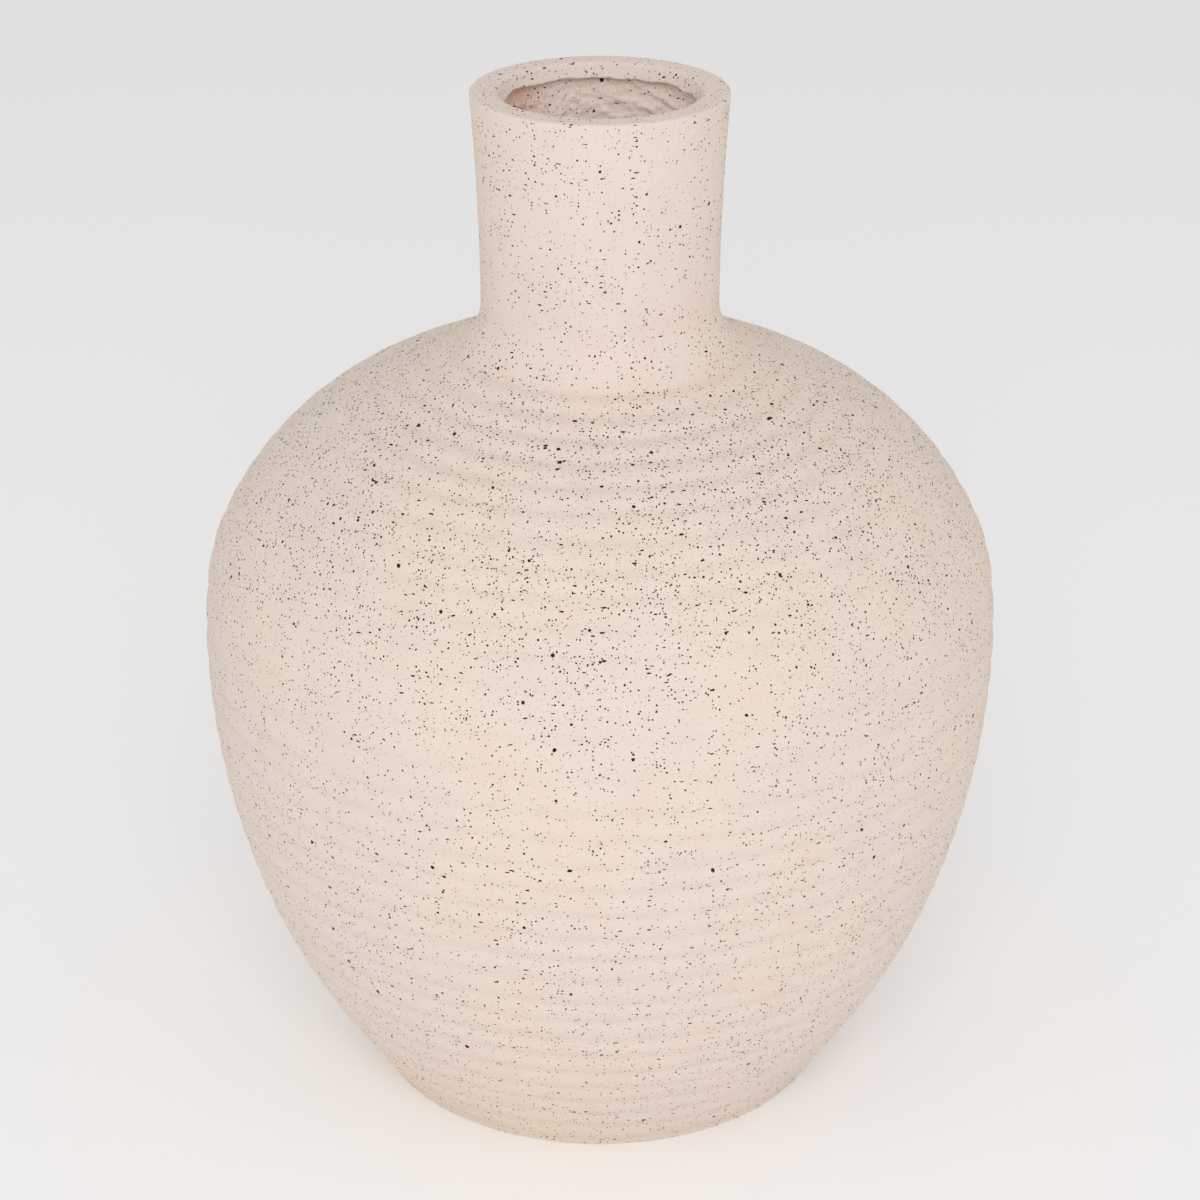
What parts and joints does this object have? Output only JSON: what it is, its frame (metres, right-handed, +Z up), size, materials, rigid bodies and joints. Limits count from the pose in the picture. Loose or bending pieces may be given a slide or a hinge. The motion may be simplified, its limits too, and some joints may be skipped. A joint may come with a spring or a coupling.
{
  "type": "stoneware pottery vase",
  "caption": "Tall round-bellied stoneware vase with a narrow flared neck, a thick rounded rim, ringed walls and a matt speckled finish.",
  "frame": {"origin": "middle of the foot, on the surface the vase stands on", "axes": "+Z up along the axis the vase was thrown about; +X and +Y are any two level directions, because it is round"},
  "size_m": [0.309, 0.309, 0.4],
  "materials": {
    "speckled_stoneware": "matt cream stoneware with fine dark iron specks",
    "bare_clay": "bare fired stoneware clay, wiped by hand"
  },
  "bodies": {
    "root": {"base_slab": "speckled_stoneware", "lower_bowl": "speckled_stoneware", "shoulder_bowl": "speckled_stoneware", "neck": "speckled_stoneware", "rim": "speckled_stoneware", "floor_coil": "bare_clay", "belly_coil": "bare_clay", "neck_coil": "bare_clay"}
  },
  "joints": []
}
